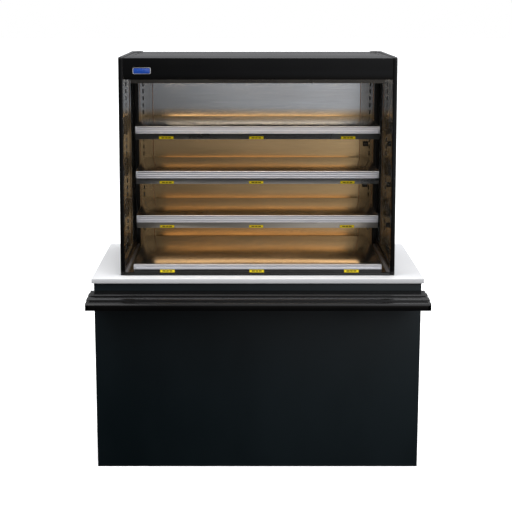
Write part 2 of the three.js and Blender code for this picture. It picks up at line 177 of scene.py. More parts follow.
def bent_sheet(points, axis, start, end, thickness, radius=0.0, steps=3):
    """Sheet metal folded along a line of points, each fold with its own round."""
    bm = bmesh.new()
    line = [bm.verts.new(placed(axis, a, b, start)) for a, b in points]
    edges = [bm.edges.new(pair) for pair in zip(line, line[1:])]
    grown = bmesh.ops.extrude_edge_only(bm, edges=edges)
    bmesh.ops.translate(bm, vec=placed(axis, 0, 0, end - start), verts=grown_verts(grown))
    folds = [edge for edge in bm.edges if len(edge.link_faces) == 2]
    if radius:
        round_edges(bm, folds, radius, steps)
    bmesh.ops.solidify(bm, geom=bm.faces[:], thickness=thickness)
    return bm


def folded_pan(low, high, sheet, radius):
    """A shallow sheet pan turned upside down: a top with its four edges folded down."""
    bm = slab(low, high)
    under = [face for face in bm.faces if face.normal.z < -0.5]
    bmesh.ops.delete(bm, geom=under, context="FACES")
    folds = [edge for edge in bm.edges if len(edge.link_faces) == 2]
    round_edges(bm, folds, radius, 3)
    bmesh.ops.solidify(bm, geom=bm.faces[:], thickness=sheet)
    return bm


def turned(points, centre, axis=(0, 0, 1), steps=20):
    """A round shape from (radius, height) points, spun about an axis through its centre."""
    bm = bmesh.new()
    line = [bm.verts.new((radius, 0, height)) for radius, height in points]
    edges = [bm.edges.new(pair) for pair in zip(line, line[1:])]
    bmesh.ops.spin(
        bm,
        geom=line + edges,
        cent=(0, 0, 0),
        axis=(0, 0, 1),
        dvec=(0, 0, 0),
        angle=2 * math.pi,
        steps=steps,
        use_merge=True,
        use_duplicate=False,
    )
    bmesh.ops.remove_doubles(bm, verts=bm.verts[:], dist=1e-3)
    bmesh.ops.recalc_face_normals(bm, faces=bm.faces[:])
    turn = Vector((0, 0, 1)).rotation_difference(Vector(axis)).to_matrix()
    return moved(bm, turn, centre)


def screw(centre, axis, radius=3.5, rise=1.6):
    """A low domed screw head with a round socket."""
    section = [
        (0, 0),
        (radius, 0),
        (radius * 0.95, rise * 0.45),
        (radius * 0.72, rise * 0.85),
        (radius * 0.42, rise),
        (radius * 0.38, rise * 0.4),
        (0, rise * 0.3),
    ]
    return turned(section, centre, axis, 12)


def bent_bar(start, radius, moves, sides=14):
    """A round bar: straight legs and quarter turns, from a start looking along +Y."""
    bm = bmesh.new()
    bmesh.ops.create_circle(bm, cap_ends=False, segments=sides, radius=radius)
    moved(bm, UPRIGHT, start)
    verts, edges = bm.verts[:], bm.edges[:]
    for move in moves:
        if move[0] == "go":
            grown = bmesh.ops.extrude_edge_only(bm, edges=edges)
            verts = grown_verts(grown)
            edges = [item for item in grown["geom"] if isinstance(item, bmesh.types.BMEdge)]
            bmesh.ops.translate(bm, vec=move[1], verts=verts)
        else:
            middle = sum((vert.co for vert in verts), Vector()) / len(verts)
            swept = bmesh.ops.spin(
                bm,
                geom=verts + edges,
                cent=middle + Vector(move[1]),
                axis=move[2],
                dvec=(0, 0, 0),
                angle=math.pi / 2,
                steps=6,
                use_merge=False,
                use_duplicate=False,
            )
            last = swept["geom_last"]
            verts = [item for item in last if isinstance(item, bmesh.types.BMVert)]
            edges = [item for item in last if isinstance(item, bmesh.types.BMEdge)]
    bmesh.ops.holes_fill(bm, edges=bm.edges[:], sides=0)
    return bm


def moved(bm, turn, place):
    """Turns a shape about the origin and carries it to its place."""
    bmesh.ops.rotate(bm, cent=(0, 0, 0), matrix=turn, verts=bm.verts)
    bmesh.ops.translate(bm, vec=place, verts=bm.verts)
    return bm


def together(parts):
    """Several shapes as one mesh."""
    whole = bmesh.new()
    for part in parts:
        part_mesh = bpy.data.meshes.new("part")
        part.to_mesh(part_mesh)
        part.free()
        whole.from_mesh(part_mesh)
        bpy.data.meshes.remove(part_mesh)
    return whole


def piece(name, bm, finish, body="root", stands_for=(), crease=32):
    """Finishes a shape as a named piece that rides on its body."""
    bmesh.ops.remove_doubles(bm, verts=bm.verts[:], dist=2e-3)
    bmesh.ops.recalc_face_normals(bm, faces=bm.faces[:])
    bmesh.ops.scale(bm, vec=(MM, MM, MM), verts=bm.verts)
    mesh = bpy.data.meshes.new(name)
    bm.to_mesh(mesh)
    bm.free()
    mesh.materials.append(finish)
    mesh.shade_smooth()
    mesh.set_sharp_from_angle(angle=math.radians(crease))
    made = bpy.data.objects.new(name, mesh)
    bpy.context.scene.collection.objects.link(made)
    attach(made, body)
    if stands_for:
        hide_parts(*stands_for)


# ---- finishes ---------------------------------------------------------------------


def new_finish(name, sockets):
    """A material with the shader's constant sockets set; returns it with its tree and shader."""
    finish = bpy.data.materials.new(name)
    finish.use_nodes = True
    tree = finish.node_tree
    shader = tree.nodes["Principled BSDF"]
    for socket, value in sockets.items():
        shader.inputs[socket].default_value = value
    return finish, tree, shader


def node(tree, kind, inputs, **settings):
    """One shader node, with each input either linked or set."""
    made = tree.nodes.new(kind)
    for setting, value in settings.items():
        setattr(made, setting, value)
    for socket, value in inputs.items():
        if isinstance(value, bpy.types.NodeSocket):
            tree.links.new(value, made.inputs[socket])
        else:
            made.inputs[socket].default_value = value
    return made


def grain(tree, scale, stretch=(1, 1, 1), detail=4.0, twist=0.0):
    """A noise over the piece's own place, stretched along its axes."""
    place = node(tree, "ShaderNodeTexCoord", {}).outputs["Object"]
    mapped = node(tree, "ShaderNodeMapping", {"Vector": place, "Scale": stretch})
    inputs = {
        "Vector": mapped.outputs[0],
        "Scale": scale,
        "Detail": detail,
        "Roughness": 0.55,
        "Distortion": twist,
    }
    return node(tree, "ShaderNodeTexNoise", inputs).outputs["Fac"]


def spread(tree, value, low, high, start=0.35, end=0.65):
    """A noise value brought to a range."""
    inputs = {"Value": value, 1: start, 2: end, 3: low, 4: high}
    return node(tree, "ShaderNodeMapRange", inputs).outputs[0]


def tinted(tree, value, dark, light, start=0.35, end=0.65):
    """A colour that runs from one tone to another with a value."""
    ramp = node(tree, "ShaderNodeValToRGB", {"Fac": value})
    first, last = ramp.color_ramp.elements
    first.position, last.position = start, end
    first.color, last.color = (*dark, 1), (*light, 1)
    return ramp.outputs[0]


def relief(tree, height, strength, distance, under=None):
    """A bump from a height, on top of another bump where there is one."""
    inputs = {"Height": height, "Strength": strength, "Distance": distance}
    if under is not None:
        inputs["Normal"] = under
    return node(tree, "ShaderNodeBump", inputs).outputs[0]


def wire(tree, shader, **sockets):
    for socket, value in sockets.items():
        tree.links.new(value, shader.inputs[socket.replace("_", " ")])


def laminate_finish():
    """Matt black laminate: an even fine texture, with slight cloudiness from wiping."""
    finish, tree, shader = new_finish("black_laminate", {"Specular IOR Level": 0.32, "IOR": 1.45})
    cloud = grain(tree, 2.2, (1, 1, 0.45), 3.0)
    fleck = grain(tree, 900.0, (1, 1, 1), 2.0)
    wire(
        tree,
        shader,
        Base_Color=tinted(tree, cloud, (0.0028, 0.0066, 0.0086), (0.0044, 0.0096, 0.0124)),
        Roughness=spread(tree, cloud, 0.40, 0.50),
        Normal=relief(tree, fleck, 0.12, 0.0002),
    )
    return finish


def enamel_finish():
    """Smooth black enamel on sheet metal, with a faint orange-peel."""
    finish, tree, shader = new_finish("black_enamel", {"Specular IOR Level": 0.20})
    peel = grain(tree, 420.0, (1, 1, 1), 1.5)
    wipe = grain(tree, 5.0, (0.5, 1, 1), 3.0)
    wire(
        tree,
        shader,
        Base_Color=tinted(tree, wipe, (0.0014, 0.0014, 0.0015), (0.0024, 0.0024, 0.0024)),
        Roughness=spread(tree, wipe, 0.13, 0.18),
        Normal=relief(tree, peel, 0.06, 0.0002),
    )
    return finish


def powder_finish():
    """Black powder coat: a fine pebbled texture that breaks the highlights up."""
    finish, tree, shader = new_finish("black_powder_coat", {"Specular IOR Level": 0.24})
    pebble = grain(tree, 700.0, (1, 1, 1), 2.0)
    worn = grain(tree, 6.0, (0.6, 1.6, 1), 4.0)
    wire(
        tree,
        shader,
        Base_Color=tinted(tree, worn, (0.0018, 0.0017, 0.0017), (0.0032, 0.0030, 0.0029)),
        Roughness=spread(tree, worn, 0.17, 0.24),
        Normal=relief(tree, pebble, 0.05, 0.0003),
    )
    return finish


def counter_finish():
    """White solid surface with a soft polish and very fine mineral specks."""
    finish, tree, shader = new_finish("white_surface", {"Specular IOR Level": 0.45})
    speck = grain(tree, 1500.0, (1, 1, 1), 2.0)
    tone = grain(tree, 3.0, (1, 1, 1), 3.0)
    wire(
        tree,
        shader,
        Base_Color=tinted(tree, speck, (0.64, 0.64, 0.64), (0.71, 0.715, 0.725), 0.28, 0.42),
        Roughness=spread(tree, tone, 0.42, 0.52),
        Normal=relief(tree, tone, 0.05, 0.002),
    )
    return finish


def steel_finish(name, along, tone, shine, wave=0.25, warm=(1.0, 1.0, 1.0), lamp_glow_below=None):
    """Brushed stainless sheet. The brush lines run along an axis and the sheet is never quite
    flat. Below the height passed as the last argument, in metres, an amber tint is painted warm
    lamplight; above it a faint cool tint is painted cool reflection."""
    finish, tree, shader = new_finish(name, {"Metallic": 1.0})
    fine = {"x": (1.5, 260, 260), "y": (260, 1.5, 260), "z": (260, 260, 1.5)}[along]
    brush = grain(tree, 4.0, fine, 3.0)
    smear = grain(tree, 3.0, (0.7, 1, 1.6), 3.0)
    buckle = grain(tree, 1.7, (1, 1, 1.5), 1.0)
    dark = tuple(tone * 0.90 * channel for channel in warm)
    light = tuple(tone * 1.06 * channel for channel in warm)
    wavy = relief(tree, buckle, wave, 0.02)
    colour = tinted(tree, brush, dark, light)
    # Painted light: below the height an amber tint stands for warm lamplight, and above it a faint cool
    # tint stands for cool reflection.
    if lamp_glow_below:
        place = node(tree, "ShaderNodeTexCoord", {}).outputs["Object"]
        up = node(tree, "ShaderNodeSeparateXYZ", {"Vector": place}).outputs[2]
        lamp_lit_below = node(tree, "ShaderNodeMapRange", {"Value": up, 1: lamp_glow_below, 2: lamp_glow_below + 0.04})
        painted_lamp_tint = tinted(tree, lamp_lit_below.outputs[0], (1.0, 0.70, 0.36), (0.95, 0.98, 1.0), 0.0, 1.0)
        blend = node(tree, "ShaderNodeMix", {0: 1.0, 6: colour, 7: painted_lamp_tint}, data_type="RGBA")
        blend.blend_type = "MULTIPLY"
        colour = blend.outputs[2]
    wire(
        tree,
        shader,
        Base_Color=colour,
        Roughness=spread(tree, smear, shine * 0.8, shine * 1.25),
        Normal=relief(tree, brush, 0.10, 0.0004, wavy),
    )
    return finish


def rail_finish():
    """Satin anodised aluminium, drawn along its length."""
    finish, tree, shader = new_finish("rail_aluminium", {"Metallic": 0.85})
    drawn = grain(tree, 5.0, (1.2, 380, 380), 3.0)
    wire(
        tree,
        shader,
        Base_Color=tinted(tree, drawn, (0.57, 0.57, 0.60), (0.68, 0.68, 0.715)),
        Roughness=spread(tree, drawn, 0.42, 0.54),
        Normal=relief(tree, drawn, 0.10, 0.0003),
    )
    return finish


def bright_finish(name, tone, shine):
    """Bright metal on small fittings, with fine rub marks."""
    finish, tree, shader = new_finish(name, {"Metallic": 1.0})
    rub = grain(tree, 60.0, (1, 1, 3), 4.0)
    wire(
        tree,
        shader,
        Base_Color=tinted(tree, rub, (tone * 0.85,) * 3, (tone, tone, tone * 1.01)),
        Roughness=spread(tree, rub, shine * 0.8, shine * 1.4),
        Normal=relief(tree, rub, 0.05, 0.0004),
    )
    return finish


def heater_finish():
    """Heat-tinted aluminium plate under the deck."""
    finish, tree, shader = new_finish("heater_plate", {"Metallic": 1.0})
    heat = grain(tree, 7.0, (1, 1, 1), 4.0)
    wire(
        tree,
        shader,
        Base_Color=tinted(tree, heat, (0.42, 0.34, 0.25), (0.60, 0.53, 0.44)),
        Roughness=spread(tree, heat, 0.30, 0.45),
        Normal=relief(tree, heat, 0.08, 0.001),
    )
    return finish


def glass_finish():
    """Grey-tinted safety glass with a trace of haze, which closes up at a glancing view."""
    finish, tree, shader = new_finish("grey_glass", {"Specular IOR Level": 0.5, "IOR": 1.5})
    haze = grain(tree, 2.5, (1, 1, 1), 2.0)
    glance = node(tree, "ShaderNodeLayerWeight", {"Blend": 0.5}).outputs["Facing"]
    wire(
        tree,
        shader,
        Base_Color=tinted(tree, haze, (0.010, 0.012, 0.012), (0.016, 0.019, 0.019)),
        Roughness=spread(tree, haze, 0.01, 0.03),
        Alpha=spread(tree, glance, 0.36, 0.95, 0.3, 0.88),
    )
    return finish


def lens_finish():
    """A frosted lamp cover, lit warm from inside."""
    finish, tree, shader = new_finish("lamp_lens", {"Emission Strength": 1.0, "Specular IOR Level": 0.4})
    glow = grain(tree, 9.0, (1, 3, 3), 2.0)
    prisms = grain(tree, 6.0, (60, 8, 8), 1.0)
    lit = tinted(tree, glow, (1.0, 0.74, 0.46), (1.0, 0.84, 0.60))
    wire(
        tree,
        shader,
        Base_Color=lit,
        Emission_Color=lit,
        Roughness=spread(tree, glow, 0.40, 0.55),
        Normal=relief(tree, prisms, 0.2, 0.001),
    )
    return finish


def plastic_finish(name, dark, light, shine, pebble=600.0):
    """Moulded plastic with a fine spark-eroded texture."""
    finish, tree, shader = new_finish(name, {"Specular IOR Level": 0.4})
    texture = grain(tree, pebble, (1, 1, 1), 2.0)
    tone = grain(tree, 25.0, (1, 1, 1), 3.0)
    wire(
        tree,
        shader,
        Base_Color=tinted(tree, tone, dark, light),
        Roughness=spread(tree, tone, shine * 0.9, shine * 1.15),
        Normal=relief(tree, texture, 0.15, 0.0003),
    )
    return finish


def enamel_badge_finish():
    """Deep blue vitreous enamel under a clear coat."""
    finish, tree, shader = new_finish(
        "badge_enamel", {"Specular IOR Level": 0.5, "Coat Weight": 0.6, "Coat Roughness": 0.08}
    )
    fired = grain(tree, 160.0, (1, 1, 1), 3.0)
    wire(
        tree,
        shader,
        Base_Color=tinted(tree, fired, (0.010, 0.060, 0.36), (0.018, 0.090, 0.48)),
        Roughness=spread(tree, fired, 0.18, 0.28),
        Normal=relief(tree, fired, 0.04, 0.0004),
    )
    return finish


BLACK_LAMINATE = laminate_finish()
BLACK_ENAMEL = enamel_finish()
POWDER_COAT = powder_finish()
WHITE_SURFACE = counter_finish()
SHELF_TOP = limits("shelf_pan_upper")[1].z * MM
# The liner and the side columns carry painted warm lamplight below the upper shelf.
LINER_STEEL = steel_finish("liner_steel", "x", 0.64, 0.16, 0.16, lamp_glow_below=SHELF_TOP)
SHELF_STEEL = steel_finish("shelf_steel", "x", 0.50, 0.20, 0.12, (1.0, 0.90, 0.76))
COVER_STEEL = steel_finish("cover_steel", "x", 0.26, 0.30, 0.30)
COLUMN_STEEL = steel_finish("column_steel", "z", 0.52, 0.22, 0.10, lamp_glow_below=SHELF_TOP)
TUB_STEEL = steel_finish("tub_steel", "y", 0.56, 0.22, 0.20, (1.0, 0.88, 0.70))
CANOPY_STEEL = steel_finish("lamp_housing_steel", "x", 0.50, 0.28, 0.10, (1.0, 0.90, 0.80))
REAR_STEEL = steel_finish("rear_steel", "z", 0.58, 0.28, 0.15)
# The louvres' steel is a darker copy of the rear sheet's steel: painted shade that dims their highlight.
LOUVRE_STEEL_PAINTED_SHADE = steel_finish("louvre_steel_painted_shade", "x", 0.24, 0.52, 0.10)
HINGE_STEEL = steel_finish("hinge_steel", "z", 0.56, 0.26, 0.05)
RAIL_ALUMINIUM = rail_finish()
BRIGHT_STEEL = bright_finish("bright_steel", 0.72, 0.20)
BADGE_RIM = bright_finish("badge_rim_chrome", 0.80, 0.12)
BADGE_ENAMEL = enamel_badge_finish()
HEATER_PLATE = heater_finish()
GREY_GLASS = glass_finish()
LAMP_LENS = lens_finish()
BLACK_PLASTIC = plastic_finish("black_plastic", (0.006, 0.006, 0.006), (0.011, 0.011, 0.011), 0.5)
DARK_SEAL = plastic_finish("dark_rubber_seal", (0.004, 0.004, 0.004), (0.008, 0.008, 0.008), 0.75)
YELLOW_TAG = plastic_finish("yellow_tag", (0.88, 0.66, 0.002), (0.96, 0.74, 0.004), 0.4)
TAG_BORDER = plastic_finish("tag_print", (0.015, 0.012, 0.002), (0.025, 0.020, 0.003), 0.5)
WHITE_MARK = plastic_finish("white_print", (0.62, 0.62, 0.62), (0.72, 0.72, 0.72), 0.5)
KICK_COVER = plastic_finish("kick_cover", (0.009, 0.009, 0.0085), (0.015, 0.015, 0.014), 0.36)
HOT_SEALANT = plastic_finish("sealant", (0.34, 0.18, 0.10), (0.48, 0.27, 0.16), 0.35)


# ---- camera -----------------------------------------------------------------------


def make_camera():
    pitch_down = 10.05
    data = bpy.data.cameras.new("camera")
    data.lens = 84.32
    data.sensor_width = 36
    data.shift_x, data.shift_y = 0.0197, -0.085
    data.clip_end = 200
    camera = bpy.data.objects.new("camera", data)
    camera.location = (-0.0521, -5.456, 2.0871)
    camera.rotation_euler = (math.radians(90 - pitch_down), 0, 0)
    bpy.context.scene.collection.objects.link(camera)
    bpy.context.scene.camera = camera


# ---- base cabinet -----------------------------------------------------------------


def base_cabinet():
    for name in ("base_front_panel", "base_side_left", "base_side_right", "base_rear_header"):
        low, high = limits(name)
        piece(name + "_board", slab(low, high, 1.0), BLACK_LAMINATE, stands_for=[name])


def rear_doors():
    for word in SIDES:
        body = "door_" + word
        low, high = limits("rear_door_" + word)
        piece(
            "rear_door_board_" + word,
            slab(low, high, 1.6, 3),
            BLACK_LAMINATE,
            body,
            ["rear_door_" + word],
        )
        low, high = limits("door_pull_" + word)
        middle = centre_of("door_pull_" + word).x
        radius, bend = 4.6, 12
        ends = (low.z + radius + 1, high.z - radius - 1)
        leg = high.y - low.y - radius - bend - 0.5
        bar = bent_bar(
            (middle, low.y + 0.5, ends[0]),
            radius,
            [
                ("go", (0, leg, 0)),
                ("turn", (0, 0, bend), (1, 0, 0)),
                ("go", (0, 0, ends[1] - ends[0] - 2 * bend)),
                ("turn", (0, -bend, 0), (1, 0, 0)),
                ("go", (0, -leg, 0)),
            ],
        )
        rose = [(0, 0), (8, 0), (8, 1.5), (6.4, 3), (4.4, 3), (0, 3)]
        roses = [turned(rose, (middle, low.y, z), (0, 1, 0)) for z in ends]
        piece(
            "door_pull_bar_" + word,
            together([bar, *roses]),
            BRIGHT_STEEL,
            body,
            ["door_pull_" + word],
        )


KNUCKLE = 4
PIN = 1.8
KNUCKLES = 5
LEAF = 1.5
LEAF_SCREWS = 6
SCREW_PITCH = 122


def hinges():
    """Long cabinet hinges: two notched leaves, interlocking knuckles and a domed pin."""
    for word, side in SIDES.items():
        axis_x = side * (BASE_HALF + KNUCKLE + GAP)
        axis_y = limits("rear_door_" + word)[0].y
        fixed_low, fixed_high = limits("hinge_fixed_leaf_" + word)
        bottom, top = fixed_low.z, fixed_high.z
        pitch = (top - bottom) / KNUCKLES
        for kind, body in (("fixed", "root"), ("moving", "door_" + word)):
            low, high = limits(f"hinge_{kind}_leaf_{word}")
            inner = BASE_HALF + (GAP if kind == "fixed" else 0)
            near, far = sorted((side * inner, side * (inner + LEAF)))
            away = -1 if kind == "fixed" else 1
            edge = low.y if kind == "fixed" else high.y
            span = sorted((edge, axis_y + away * 3.8))
            parts = [slab((near, span[0], bottom), (far, span[1], top), 0.4, 1)]
            first = 0 if kind == "fixed" else 1
            for i in range(first, KNUCKLES, 2):
                start, end = bottom + i * pitch + GAP, bottom + (i + 1) * pitch - GAP
                tab = sorted((axis_y + away * 4.5, axis_y + away))
                parts.append(slab((near, tab[0], start), (far, tab[1], end)))
                barrel = [
                    (PIN + 0.2, start),
                    (KNUCKLE - 0.3, start),
                    (KNUCKLE, start + 0.3),
                    (KNUCKLE, end - 0.3),
                    (KNUCKLE - 0.3, end),
                    (PIN + 0.2, end),
                    (PIN + 0.2, start),
                ]
                parts.append(turned(barrel, (axis_x, axis_y, 0), steps=24))
            if kind == "fixed":
                pin = [
                    (0, bottom - 1.6),
                    (2.2, bottom - 1.2),
                    (2.8, bottom),
                    (PIN, bottom + 0.1),
                    (PIN, top - 0.1),
                    (2.8, top),
                    (2.2, top + 1.2),
                    (0, top + 1.6),
                ]
                parts.append(turned(pin, (axis_x, axis_y, 0), steps=16))
            piece(
                f"hinge_{kind}_{word}",
                together(parts),
                HINGE_STEEL,
                body,
                [f"hinge_{kind}_leaf_{word}"],
            )
            back = low.y + 12 if kind == "fixed" else axis_y + 11
            face = side * (inner + LEAF)
            heads = [
                screw((face, back, low.z + 60 + SCREW_PITCH * i), (side, 0, 0), 3.2, 1.3)
                for i in range(LEAF_SCREWS)
            ]
            piece(f"hinge_{kind}_screws_{word}", together(heads), BRIGHT_STEEL, body)


# ---- countertop and tray slide ----------------------------------------------------

CUT_X = 545
CUT_FRONT, CUT_REAR = 95, 705


def countertop():
    low, high = limits("countertop")
    top = ring(
        rectangle(low.x, high.x, low.y, high.y),
        rectangle(-CUT_X, CUT_X, BASE_FRONT + CUT_FRONT, BASE_FRONT + CUT_REAR),
        "z",
        low.z,
        high.z,
        (4, 8),
    )
    piece("countertop_slab", ease(top, 2.2, 3), WHITE_SURFACE, stands_for=["countertop"])


TRAY_DEPTH = 205
TRAY_FALL = 12
TRAY_REAR = COUNTER - 56
TRAY_SHEET = 2.6
TRAY_CAP = 13
BANDS = ((61, 100), (120, 164))
BAND_RISE = 7.5
FLANGE = 2.9


def tray_height(out):
    return TRAY_REAR - TRAY_FALL * out / TRAY_DEPTH


def tray_line(lift):
    """The tray's folded upper line, from the base over two raised bands to its rolled nose."""
    line = [(0.5, tray_height(0) + lift)]
    for start, end in BANDS:
        for out, rise in ((start, 0), (start + 4, BAND_RISE), (end - 0.8, BAND_RISE), (end, 0)):
            line.append((out, tray_height(out) + rise + lift))
    crest = tray_height(190) + 3.5
    line += [(178, tray_height(178) + lift), (187, crest + lift), (198, crest - 0.8 + lift)]
    line.append((TRAY_DEPTH, crest - 8 + lift))
    return [(BASE_FRONT - out, z) for out, z in line]


def tray_slide():
    low, high = limits("tray_slide")
    lip = low.z + 0.1
    front = BASE_FRONT - TRAY_DEPTH
    folded = [*tray_line(-0.2), (front, lip), (front + 9, lip)]
    sheet = bent_sheet(folded, "x", low.x + 2, high.x - 2, -TRAY_SHEET, 1.4, 3)
    flange = slab(
        (low.x + 20, BASE_FRONT - FLANGE, TRAY_REAR - 39),
        (high.x - 20, BASE_FRONT - GAP, TRAY_REAR - 3),
        0.5,
    )
    piece(
        "tray_slide_sheet",
        together([sheet, flange]),
        POWDER_COAT,
        stands_for=["tray_slide"],
    )
    for word, side in SIDES.items():
        under = [(front, lip), (front + 12, lip), (BASE_FRONT - 0.5, TRAY_REAR - 20)]
        edge = tray_line(0.9)
        ends = sorted((side * high.x, side * (high.x - TRAY_CAP)))
        shape = prism([*edge, *under], "x", ends[0], ends[1], 2.0, 3)
        piece("tray_end_cap_" + word, ease(shape, 0.6, 1), BLACK_PLASTIC)


def tray_fixings():
    out = 196
    under = (BASE_FRONT - out, tray_height(out) - 24.5)
    heads = [screw((x, *under), (0, 0, -1), 4, 2) for x in (-596, -585, 561, 595)]
    piece("tray_fixing_screws", together(heads), BRIGHT_STEEL)
    face = (BASE_FRONT - FLANGE, TRAY_REAR - 28)
    heads = [screw((x, *face), (0, -1, 0), 4, 1.8) for x in range(-660, 661, 220)]
    piece("tray_flange_screws", together(heads), BRIGHT_STEEL)


# ---- end frames -------------------------------------------------------------------

CASE_FRONT = 49
CASE_LEAN = 51
CASE_REAR = 760
POST = 32
SEAL = 2.4


def case_front(z):
    """How far behind the base's face the leaning front edge is, at a height."""
    return CASE_FRONT + CASE_LEAN * (z - COUNTER) / (CASE_TOP - COUNTER)


def end_outline(inset):
    low, high = FOOT + inset, CASE_TOP - inset
    corners = [
        (case_front(low) + inset, low),
        (CASE_REAR - inset, low),
        (CASE_REAR - inset, high),
        (case_front(high) + inset, high),
    ]
    return [(BASE_FRONT + back, z) for back, z in corners]


def end_frames():
    for word, side in SIDES.items():
        name = "end_frame_" + word
        low, high = limits(name)
        frame_ring = ring(end_outline(0), end_outline(POST), "x", low.x, high.x, (9.5, 9), 5)
        piece(name + "_rim", ease(frame_ring, 1.4, 3), BLACK_ENAMEL, stands_for=[name])
        pane_low, pane_high = limits("end_glass_" + word)
        seals = []
        for near, far in ((pane_low.x - SEAL, pane_low.x - 0.1), (pane_high.x + 0.1, pane_high.x + SEAL)):
            bead = ring(end_outline(POST + 0.2), end_outline(POST + 6), "x", near, far, (9, 6), 4)
            seals.append(ease(bead, 0.6, 1))
        piece("end_glass_seal_" + word, together(seals), DARK_SEAL)
        low, high = limits("side_column_" + word)
        near, far = sorted((side * (COLUMN_X + 7.5), side * (INNER - 0.6)))
        strip = slab((near, BASE_FRONT + 716, low.z), (far, BASE_FRONT + 725.6, high.z), 1.5)
        piece("rear_glass_seal_" + word, strip, DARK_SEAL)


# ---- canopy -----------------------------------------------------------------------


def canopy():
    low, high = limits("canopy_fascia")
    setback = 1.5
    front_low = BASE_FRONT + case_front(low.z) + setback
    front_high = BASE_FRONT + case_front(high.z) + setback
    skin = bent_sheet(
        [
            (front_low + 11, low.z + 0.1),
            (front_low, low.z + 0.1),
            (front_high, high.z - 0.1),
            (front_high + 11, high.z - 0.1),
        ],
        "x",
        low.x,
        high.x,
        1.6,
        2.2,
        4,
    )
    piece("canopy_fascia_skin", skin, BLACK_ENAMEL, stands_for=["canopy_fascia"])

    low, high = limits("canopy_top")
    lid = slab(low, high, 2.0, 3)
    piece("canopy_top_lid", lid, BLACK_ENAMEL, stands_for=["canopy_top"])
    lug_x, lug_half, screw_x = 573, 17, 562
    lugs = [
        slab(
            (side * lug_x - lug_half, high.y - 22, high.z + 0.1),
            (side * lug_x + lug_half, high.y - 2, high.z + 2.8),
            1.0,
        )
        for side in SIDES.values()
    ]
    piece("canopy_lift_lugs", together(lugs), BLACK_ENAMEL)
    heads = [
        screw((side * screw_x, low.y + back, high.z), (0, 0, 1), 4.2, 1.6)
        for side in SIDES.values()
        for back in range(40, 620, 140)
    ]
    piece("canopy_top_screws", together(heads), BLACK_PLASTIC)

    low, high = limits("light_lens")
    rise = 3.0
    cover = prism(
        [
            (low.y, low.z + rise),
            (low.y + 8, low.z + 0.8),
            (high.y - 8, low.z + 0.8),
            (high.y, low.z + rise),
            (high.y, high.z),
            (low.y, high.z),
        ],
        "x",
        low.x,
        high.x,
        1.2,
    )
    piece("lamp_diffuser", cover, LAMP_LENS, stands_for=["light_lens"])


def centred(half_x, half_z):
    return rectangle(-half_x, half_x, -half_z, half_z)


def rounded_plate(half_x, half_z, thickness, radius, back):
    return prism(centred(half_x, half_z), "y", back - thickness, back, radius, 6)


def badge():
    centre = centre_of("badge_plate")
    lean = Matrix.Rotation(-math.atan2(CASE_LEAN, CASE_TOP - COUNTER), 3, "X")
    rim = ease(ring(centred(40, 15), centred(36.5, 11.5), "y", -1, 1, (7, 4), 6), 0.6, 2)
    field = ease(rounded_plate(36.3, 11.3, 1.4, 4, 1), 0.5, 2)
    for name, bm, finish, slot in (
        ("badge_rim_ring", rim, BADGE_RIM, "badge_rim"),
        ("badge_field", field, BADGE_ENAMEL, "badge_enamel"),
    ):
        piece(name, moved(bm, lean, centre), finish, stands_for=["badge_plate"])


# ---- tags -------------------------------------------------------------------------


def tag(centre, tilt=0.0):
    """A plain yellow tag and its dark print: a thin border and three plain bars."""
    half_x, half_z = 33, 7
    ink_front, ink_back = -0.65, -0.45
    plate = rounded_plate(half_x, half_z, 0.5, 1.2, 0)
    border_outer = centred(half_x - 0.8, half_z - 0.8)
    border_inner = centred(half_x - 1.7, half_z - 1.7)
    printed = [ring(border_outer, border_inner, "y", ink_front, ink_back)]
    for start, end in ((-22, -8), (-5, 6), (9, 22)):
        printed.append(slab((start, ink_front, -2.4), (end, ink_back, 2.4)))
    turn = Matrix.Rotation(tilt, 3, "X")
    return moved(plate, turn, centre), moved(together(printed), turn, centre)


def tags(prefix, body, places, tilt=0.0):
    plates, printed = zip(*(tag(place, tilt) for place in places))
    piece(prefix + "_tags", together(plates), YELLOW_TAG, body)
    piece(prefix + "_tag_print", together(printed), TAG_BORDER, body)


# ---- deck -------------------------------------------------------------------------


def stepped_rail(front, rear, low, high, step, lips):
    """A label rail's section: a flat back, and a front with shallow grooves between lips."""
    points = [(rear, high), (rear, low), (front + 0.6, low), (front, low + 0.8)]
    for lip in lips:
        points += [(front, lip - 0.7), (front + step, lip), (front + step, lip + 1.0)]
        points.append((front, lip + 1.7))
    points += [(front, high - 1.0), (front + 0.9, high)]
    return points


def label_rail(name, node_name, body, lips, step=1.2, cap=7.0):
    low, high = limits(node_name)
    section = stepped_rail(low.y + 0.5, high.y, low.z, high.z, step, lips)
    rail = prism(section, "x", low.x + cap, high.x - cap)
    piece(name, ease(rail, 0.25, 1, 50), RAIL_ALUMINIUM, body, [node_name])
    caps = [
        slab((low.x, low.y, low.z), (low.x + cap - 0.3, high.y, high.z), 1.0),
        slab((high.x - cap + 0.3, low.y, low.z), (high.x, high.y, high.z), 1.0),
    ]
    piece(name + "_ends", together(caps), RAIL_ALUMINIUM, body)


def deck():
    low, high = limits("deck_pan")
    pan = folded_pan(low, high, 1.4, 2.2)
    piece("deck_pan_sheet", pan, SHELF_STEEL, "deck", ["deck_pan"])
    foot = limits("deck_price_rail")[0].z
    label_rail("deck_label_rail", "deck_price_rail", "deck", [foot + 9.5], 1.4)

    for name in ("deck_kick", "front_sill"):
        low, high = limits(name)
        piece(name + "_moulding", slab(low, high, 1.2), KICK_COVER, stands_for=[name])
    low, high = limits("deck_kick")
    places = [(x, low.y - 0.1, (low.z + high.z) / 2 + 1) for x in (-402, -4, 418)]
    tags("deck", "root", places)


# ---- back wall --------------------------------------------------------------------

COLUMN_X = 571
LINER_X = 509
LINER_RIPPLE = 0.25
WALL_BACK = BASE_FRONT + 720


